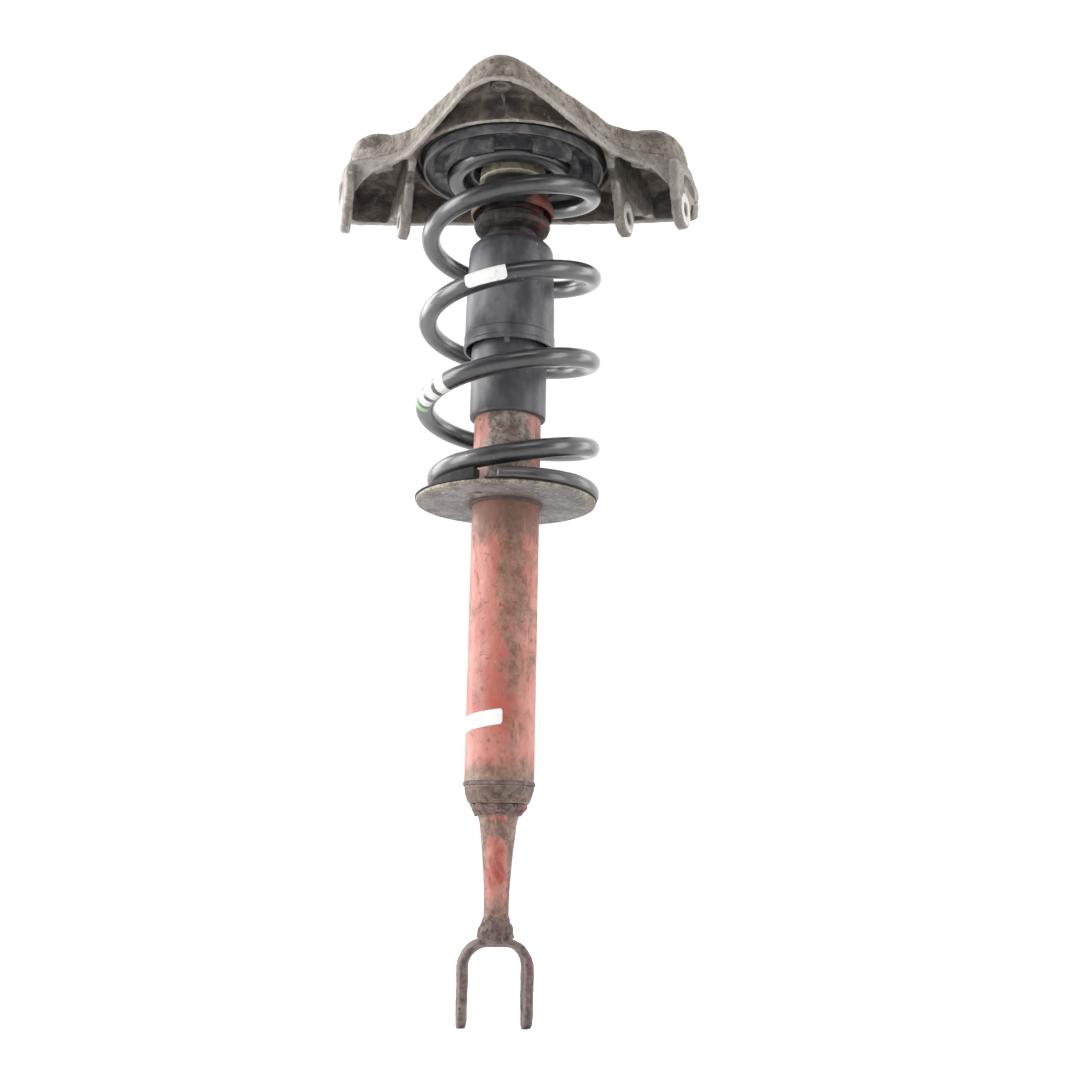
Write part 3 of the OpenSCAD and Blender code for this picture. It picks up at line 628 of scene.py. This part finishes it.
def ear_places():
    """Centre, axis and half length of each pair of arm ears."""
    for side in ("arm_ears_left", "arm_ears_right"):
        m = mounts[side]
        axis = np.array(m["axis"])
        yield np.array(m["pos_m"]), axis / np.linalg.norm(axis), m["dims"]["length_mm"] * MM / 2


def machined(points):
    """1 on the ears' faces, bores and bolt holes, so that they stay crisp."""
    hold = np.zeros(len(points))
    for centre, axis, half in ear_places():
        d = points - centre
        along = d @ axis
        across = np.linalg.norm(d - along[:, None] * axis, axis=1)
        hold = np.maximum(hold, (across < 12 * MM) & (np.abs(along) < half + MM))
    for name, m in mounts.items():
        if name.startswith("body_bolt"):
            across = np.linalg.norm((points - np.array(m["pos_m"]))[:, :2], axis=1)
            hold = np.maximum(hold, across < m["dims"]["r_mm"] * MM + 0.9 * MM)
    return hold


bracket = skin("strut_bracket", "cast_bracket", 1.5 * MM, 3,
               [(9 * MM, 0.35 * MM, 1.0), (2.6 * MM, 0.16 * MM, 1.0)], machined)


def in_bracket(points):
    """Points turned into the casting's own directions, its pointed end along -Y."""
    m = mounts["body_bolt_front"]["pos_m"]
    a = math.atan2(-m[1], m[0]) - math.pi / 2
    c, s = math.cos(a), math.sin(a)
    return np.column_stack((points[:, 0] * c - points[:, 1] * s, points[:, 0] * s + points[:, 1] * c,
                            points[:, 2]))


def step(x, low, high):
    """0 at low, 1 at high, smooth between, for arrays."""
    t = np.clip((x - low) / (high - low), 0, 1)
    return t * t * (3 - 2 * t)


# The casting's lower rim: distances behind the strut's axis and heights above the lower seat.
RIM_Y = np.array([-200, -20, 20, 120]) * MM
RIM_Z = np.array([285.3, 266.6, 265.6, 265.2]) * MM
# The lip's height at the point, and how much taller it is on the shoulders, in millimetres.
LIP_FRONT, LIP_GROWTH = 3.0, 7.5
# How far the upper walls stand back from the lip.
WALL_SET_BACK = 2.1 * MM
# Radius of the round housing over the spring, which keeps its shape.
HOUSING_R = 84 * MM
# The arm ears lie between these distances from the casting's middle.
EAR_IN, EAR_OUT = 84 * MM, 109 * MM


def rim_height(y):
    """Height of the casting's lower rim, which rises toward the pointed end."""
    return SEAT_Z + np.interp(y, RIM_Y, RIM_Z)


def lip_height(x):
    """How far the lip stands up from the rim; it is taller on the shoulders than at the point."""
    return (LIP_FRONT + LIP_GROWTH * step(np.abs(x), 25 * MM, 75 * MM)) * MM


def shape_walls(obj):
    """Rounds the roof's edge and the corners beside the point, and sets the walls back above a lip."""
    co, pairs = corners(obj), edges(obj)
    at = in_bracket(co)
    hold = machined(co)
    radius = np.hypot(co[:, 0], co[:, 1])
    top = step(at[:, 2], SEAT_Z + 292 * MM, SEAT_Z + 297 * MM)
    top *= step(radius, HOUSING_R, HOUSING_R + 4 * MM)
    corner = np.hypot(np.abs(at[:, 0]) - 79 * MM, at[:, 1] + 32 * MM)
    soft = np.maximum(top * 0.9, step(corner, 20 * MM, 8 * MM)) * (1 - hold)
    smooth = spread(co, pairs, 14)
    joint = step(np.abs(at[:, 2] - SEAT_Z - 264 * MM), 18 * MM, 8 * MM)
    joint *= step(np.abs(at[:, 0]), 112 * MM, 122 * MM)
    blend = spread(co, pairs, 7)
    co = co + (smooth - co) * soft[:, None] + (blend - co) * (joint * (1 - soft) * (1 - hold))[:, None]
    out = normals(obj)
    turned = in_bracket(out)
    lift = at[:, 2] - rim_height(at[:, 1])
    lip = lip_height(at[:, 0])
    outward = (turned[:, :2] * (at[:, :2] - [0, 0.01])).sum(1) > 0
    wall = outward & (np.abs(out[:, 2]) < 0.75) & (radius > HOUSING_R)
    back = step(lift, lip, lip + 2 * MM) * spread(wall.astype(float), pairs, 2)
    back *= step(at[:, 2], SEAT_Z + 300 * MM, SEAT_Z + 296 * MM) * (1 - hold)
    co = co - out * (back * WALL_SET_BACK)[:, None]
    obj.data.vertices.foreach_set("co", co.ravel())
    obj.data.update()
    bend(obj)


def bracket_masks(obj):
    """Stores what the casting's material needs: machined ears, height above the lip, and the inside, which
    gets painted shade.
    """
    co, out, pairs = corners(obj), normals(obj), edges(obj)
    at, turned = in_bracket(co), in_bracket(out)
    radius = np.full(len(co), 1.0)
    face = np.zeros(len(co))
    for centre, axis, half in ear_places():
        d = co - centre
        along = d @ axis
        across = np.linalg.norm(d - along[:, None] * axis, axis=1)
        near = (across < 20 * MM) & (np.abs(along) < half + 3 * MM)
        radius = np.where(near, np.minimum(radius, across), radius)
        face = np.where(near & (np.abs(out @ axis) > 0.6), 1.0, face)
    store(obj, "ear_radius", radius)
    store(obj, "ear_face", spread(face, pairs, 1))
    lift = at[:, 2] - rim_height(at[:, 1])
    lip = lip_height(at[:, 0])
    store(obj, "lift", lift - lip)
    # Inside, where the casting gets painted shade: a surface with the roof above it, but not the ears, the
    # edges in front or the rim itself.
    graph = bpy.context.evaluated_depsgraph_get()
    obj_eval = obj.evaluated_get(graph)
    blocked = np.zeros(len(co))
    for i in range(len(co)):
        start = Vector(co[i] + out[i] * 0.6 * MM)
        blocked[i] = 1.0 if obj_eval.ray_cast(start, Vector((0, 0, 1)), distance=0.12)[0] else 0.0
    under = (out[:, 2] < -0.75) & (at[:, 2] > SEAT_Z + 284 * MM)
    inside = np.maximum(blocked, under)
    inside *= step(at[:, 2], SEAT_Z + 250 * MM, SEAT_Z + 262 * MM)
    aside = np.abs(at[:, 0])
    ears = aside > EAR_IN
    inside *= 1 - ((turned[:, 1] < -0.5) & (at[:, 1] < 12 * MM) & (lift < 20 * MM) & ears)
    inside *= 1 - ((out[:, 2] < -0.4) & (np.abs(lift) < 3 * MM))
    near_ear = (aside > EAR_IN) & (aside < EAR_OUT) & (at[:, 2] < SEAT_Z + 262 * MM)
    inside = np.maximum(inside, 0.5 * near_ear)
    store(obj, "inner", spread(inside, pairs, 2))


shape_walls(bracket)
bracket_masks(bracket)

# ---------------------------------------------------------------- welded foot

def upper_bead(points):
    """1 on the bead between cap and tube, which is smooth."""
    return (points[:, 2] > SEAT_Z - 214 * MM).astype(float)


def drape(obj):
    """Lets the lowest bead flow down over the fork's rounded crown, front and back."""
    co = corners(obj)
    reach = step(co[:, 2], SEAT_Z - 309 * MM, SEAT_Z - 314 * MM)
    reach *= step(np.hypot(co[:, 0], co[:, 1]), 6 * MM, 9 * MM)
    side = step(np.abs(co[:, 1]), 4 * MM, 12 * MM)
    co[:, 2] -= reach * (0.8 + 4.2 * side) * MM
    low = co[:, 2] < SEAT_Z - 290 * MM
    slim = 1 - 0.10 * low * step(co[:, 2], SEAT_Z - 308 * MM, SEAT_Z - 301 * MM)
    co[:, :2] *= slim[:, None]
    obj.data.vertices.foreach_set("co", co.ravel())
    obj.data.update()


for source, name, cell, rounds, bumps in (
        ("welds", "weld_beads", 0.55 * MM, 2, [(5.5 * MM, 1.1 * MM, 0.8), (2.2 * MM, 0.55 * MM, 0.9)]),
        ("end_cap", "tube_end_cap", 0.7 * MM, 2, [(7 * MM, 0.45 * MM, 1.0), (2 * MM, 0.18 * MM, 1.0)]),
        ("fork", "fork_foot", 0.9 * MM, 3, [(8 * MM, 0.35 * MM, 1.0), (2.2 * MM, 0.15 * MM, 1.0)])):
    made = skin(source, name, cell, rounds, bumps, upper_bead if source == "welds" else None)
    if source == "welds":
        drape(made)


# ---------------------------------------------------------------- coil spring

WIRE_R = 7.2 * MM
COIL_R = 63.3 * MM
TAIL_R = 41.5 * MM
PITCH = 68.8 * MM
# Tilt of the pitch line, the ground lower end, and the top coil, as heights above the lower seat.
LEAN = 3.9 * MM
FLOOR = 4.05 * MM
CEILING = 268.1 * MM
# Both ends of the wire in degrees of turn, and how softly the end coils level off.
TURN_START, TURN_END = -455.0, 1418.0
SOFT = 2.2 * MM


def ease(t):
    """0 at 0, 1 at 1, smooth between, for one number."""
    t = min(1.0, max(0.0, t))
    return t * t * (3 - 2 * t)


def softplus(x, k):
    """0 well below 0 and x well above it, with a bend about k wide."""
    return x if x / k > 30 else k * math.log(1 + math.exp(x / k))


def coil_point(a):
    """Centre of the wire at turn a, in degrees, above the lower seat's underside."""
    line = 42.7 * MM + a * PITCH / 360 + LEAN * math.cos(math.radians(a - 45))
    base = (5.4 + (a - TURN_START) * 0.037 + max(0.0, a + 360) * 0.012) * MM
    z = base + softplus(line - base, SOFT) - softplus(line - CEILING, SOFT)
    r = COIL_R - 10.5 * MM * (ease((a + 340) / 150) - ease((a + 175) / 150))
    r -= (COIL_R - TAIL_R) * ease((a - 1060) / 270)
    return Vector((r * math.cos(math.radians(a)), r * math.sin(math.radians(a)), z))


def wire_ring(a, radius, sides, span=None):
    """Points round the wire at turn a; span limits them to angles (from, to), 0 outward and 90 up."""
    p = coil_point(a)
    along = (coil_point(a + 0.5) - coil_point(a - 0.5)).normalized()
    out = Vector((math.cos(math.radians(a)), math.sin(math.radians(a)), 0))
    out = (out - out.dot(along) * along).normalized()
    up = along.cross(out)
    up = up if up.z > 0 else -up
    first, last = span or (180.0, 540.0 - 360.0 / sides)
    for j in range(sides):
        t = math.radians(first + (last - first) * j / (sides - 1))
        q = p + radius * (math.cos(t) * out + math.sin(t) * up)
        q.z = max(q.z, FLOOR)
        yield q + Vector((0, 0, SEAT_Z)), math.cos(t)


def wire_weight(z, low, high):
    """Share of the lower seat's motion that a point of the wire at height z takes."""
    return min(1.0, max(0.0, (high - z) / (high - low)))


def blend_rings(obj, centres, per_ring):
    """Bakes the wire's transform and works out one weight per ring from its height; nothing uses the weights.
    """
    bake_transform(obj)
    low, high = coil_point(-430).z, CEILING
    weights = [wire_weight(z, low, high) for z in centres for _ in range(per_ring)]


def coil():
    """The wire as rings of points along the coil, closed at both ends."""
    sides, spacing = 28, 1.5
    turns = list(np.arange(TURN_START, TURN_END, spacing)) + [TURN_END]
    rows = [(a, WIRE_R) for a in turns]
    inset = ((0.0, 0.86), (0.25, 0.95))
    rows[0:1] = [(turns[0] + da, WIRE_R * k) for da, k in inset]
    rows[-1:] = [(turns[-1] - da, WIRE_R * k) for da, k in reversed(inset)]
    verts, turn, outward = [], [], []
    for a, radius in rows:
        for q, side in wire_ring(a, radius, sides):
            verts.append(q)
            turn.append(a)
            outward.append(side)
    n = len(rows)
    faces = []
    for i in range(n - 1):
        for j in range(sides):
            k = (j + 1) % sides
            faces.append((i * sides + j, i * sides + k, (i + 1) * sides + k, (i + 1) * sides + j))
    faces += [tuple(range(sides - 1, -1, -1)), tuple((n - 1) * sides + j for j in range(sides))]
    obj = piece("spring_wire", verts, faces, None, spring_coat())
    store(obj, "turn", turn)
    store(obj, "outward", outward)
    store(obj, "rest", verts, "FLOAT_VECTOR")
    blend_rings(obj, [coil_point(a).z for a, _ in rows], sides)
    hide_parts("coil_spring")
    face_outward(obj)
    return obj


def face_outward(obj):
    """Makes every face of a closed mesh point outward."""
    bm = bmesh.new()
    bm.from_mesh(obj.data)
    bmesh.ops.recalc_face_normals(bm, faces=bm.faces)
    bm.to_mesh(obj.data)
    bm.free()
    obj.data.update()


def grid(rows, sides):
    """Four-sided faces over rows strips of points, sides points across."""
    return [(i * sides + j, i * sides + j + 1, (i + 1) * sides + j + 1, (i + 1) * sides + j)
            for i in range(rows) for j in range(sides - 1)]


def wire_label():
    """A blank label stuck on the outside of the wire, with rounded corners."""
    first, last, rows, sides = 601.5, 627.5, 40, 26
    low, high = -50.0, 96.0
    round_off = 3.2
    verts, centres = [], []
    for i in range(rows + 1):
        a = first + (last - first) * i / rows
        near = min(a - first, last - a)
        cut = 0.0 if near >= round_off else 22.0 * (1 - math.sqrt(1 - ((round_off - near) / round_off) ** 2))
        for q, _ in wire_ring(a, WIRE_R + 0.14 * MM, sides, (low + cut, high - cut)):
            verts.append(q)
        centres.append(coil_point(a).z)
    faces = grid(rows, sides)
    obj = piece("spring_label", verts, faces, None, label_white("spring_label_white"))
    store(obj, "rest", verts, "FLOAT_VECTOR")
    blend_rings(obj, centres, sides)
    return obj


def tube_label():
    """A blank label wrapped round the left of the tube, a little askew."""
    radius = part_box("damper_tube")[1].x + 0.16 * MM
    first, last, rows, sides = 168.0, 273.0, 70, 16
    middle, tall, fall = -161.5 * MM, 11.2 * MM, 8.0
    verts = []
    for i in range(rows + 1):
        a = first + (last - first) * i / rows
        near = min(a - first, last - a) * math.radians(radius)
        corner = 2.0 * MM
        cut = 0.0 if near >= corner else corner - math.sqrt(corner ** 2 - (corner - near) ** 2)
        rise = (a - last) * math.radians(radius) * math.tan(math.radians(fall))
        for j in range(sides):
            t = (j / (sides - 1) - 0.5) * (tall - 2 * cut)
            verts.append(Vector((radius * math.cos(math.radians(a)), radius * math.sin(math.radians(a)),
                                 SEAT_Z + middle + rise + t)))
    faces = grid(rows, sides)
    obj = piece("tube_label", verts, faces, "foot", label_white("tube_label_white"))
    store(obj, "rest", verts, "FLOAT_VECTOR")
    return obj


coil()
wire_label()
tube_label()

# ---------------------------------------------------------------- CAD nodes that stay

for node_name, node in frame["nodes"].items():
    if node.hide_render or node_name not in FINISHES:
        continue
    node.data.materials.clear()
    node.data.materials.append(FINISHES[node_name])
    round_edge = node.modifiers.new("edges", "BEVEL")
    round_edge.width = 0.4 * MM
    round_edge.segments = 2
    round_edge.limit_method = "ANGLE"
    round_edge.angle_limit = math.radians(35)
    round_edge.harden_normals = False


# ---------------------------------------------------------------- studio

def look_matrix():
    """Camera placed in front of the strut, low down and tipped up."""
    pitch, yaw, roll = -0.22323, -0.0171, 0.01833
    base = Matrix(((1, 0, 0), (0, 0, -1), (0, 1, 0)))
    turn = Matrix.Rotation(roll, 3, "Z") @ Matrix.Rotation(pitch, 3, "X")
    turn = turn @ Matrix.Rotation(yaw, 3, "Y") @ base
    m = Matrix((turn[0], -turn[1], -turn[2])).transposed().to_4x4()
    m.translation = Vector((0.00706, -1.12795, 0.08019))
    return m


def camera():
    """The photograph's view: a long lens, low in front."""
    data = bpy.data.cameras.new("camera")
    data.sensor_width = 36.0
    data.lens = 51.4
    data.clip_start, data.clip_end = 0.01, 100.0
    obj = bpy.data.objects.new("camera", data)
    bpy.context.scene.collection.objects.link(obj)
    obj.matrix_world = look_matrix()
    bpy.context.scene.camera = obj


def lamp(name, place, aim, size, power):
    """A white soft box at place that points at aim."""
    data = bpy.data.lights.new(name, "AREA")
    data.shape = "RECTANGLE"
    data.size, data.size_y = size
    data.energy = power
    obj = bpy.data.objects.new(name, data)
    bpy.context.scene.collection.objects.link(obj)
    obj.location = place
    obj.rotation_euler = (Vector(aim) - Vector(place)).to_track_quat("-Z", "Y").to_euler()
    obj.visible_camera = False


def studio():
    """Plain pale floor, white surroundings and soft lamps."""
    low = cad_box[0]
    size = 12.0
    z = low.z - 0.4 * MM
    ground = Finish("floor_white", rough=0.9, spec=0.1)
    tone = ground.mix(ground.noise(0.6, 2), srgb("ececeb"), srgb("f2f2f1"))
    ground.done(tone)
    seen = ground.tree.nodes.new("ShaderNodeLightPath").outputs["Is Camera Ray"]
    ground.bsdf.inputs["Emission Color"].default_value = (1, 1, 1, 1)
    ground.put(ground.bsdf.inputs["Emission Strength"], ground.math("MULTIPLY", seen, 0.7))
    floor = piece("floor", [(-size, -size, z), (size, -size, z), (size, size, z), (-size, size, z)],
                  [(0, 1, 2, 3)], None, ground.mat, smooth=False)

    world = bpy.data.worlds.new("studio_white")
    bpy.context.scene.world = world
    world.use_nodes = True
    tree = world.node_tree
    back = tree.nodes["Background"]
    way = tree.nodes.new("ShaderNodeTexCoord").outputs["Generated"]
    split = tree.nodes.new("ShaderNodeSeparateXYZ")
    tree.links.new(way, split.inputs[0])
    ramp = tree.nodes.new("ShaderNodeMapRange")
    tree.links.new(split.outputs[1], ramp.inputs["Value"])
    for socket, value in (("From Min", -0.7), ("From Max", 0.35), ("To Min", 0.20), ("To Max", 1.15)):
        ramp.inputs[socket].default_value = value
    path = tree.nodes.new("ShaderNodeLightPath")
    bright = tree.nodes.new("ShaderNodeMath")
    bright.operation = "MAXIMUM"
    tree.links.new(ramp.outputs[0], bright.inputs[0])
    tree.links.new(path.outputs["Is Camera Ray"], bright.inputs[1])
    tree.links.new(bright.outputs[0], back.inputs["Strength"])
    back.inputs["Color"].default_value = (1, 1, 1, 1)

    middle = (0.0, 0.0, 0.36)
    lamp("key_left", (-1.7, -0.45, 0.8), middle, (0.8, 1.8), 27)
    lamp("edge_left", (-1.4, 0.75, 0.7), middle, (0.7, 1.6), 15)
    lamp("edge_right", (1.5, 0.55, 0.6), middle, (0.5, 1.5), 6)
    lamp("fill_right", (1.6, -0.75, 0.7), middle, (0.6, 1.6), 11)
    lamp("top_front", (0.3, -1.3, 1.9), middle, (1.0, 0.6), 5)
    bpy.context.scene.view_settings.view_transform = "Standard"


camera()
studio()
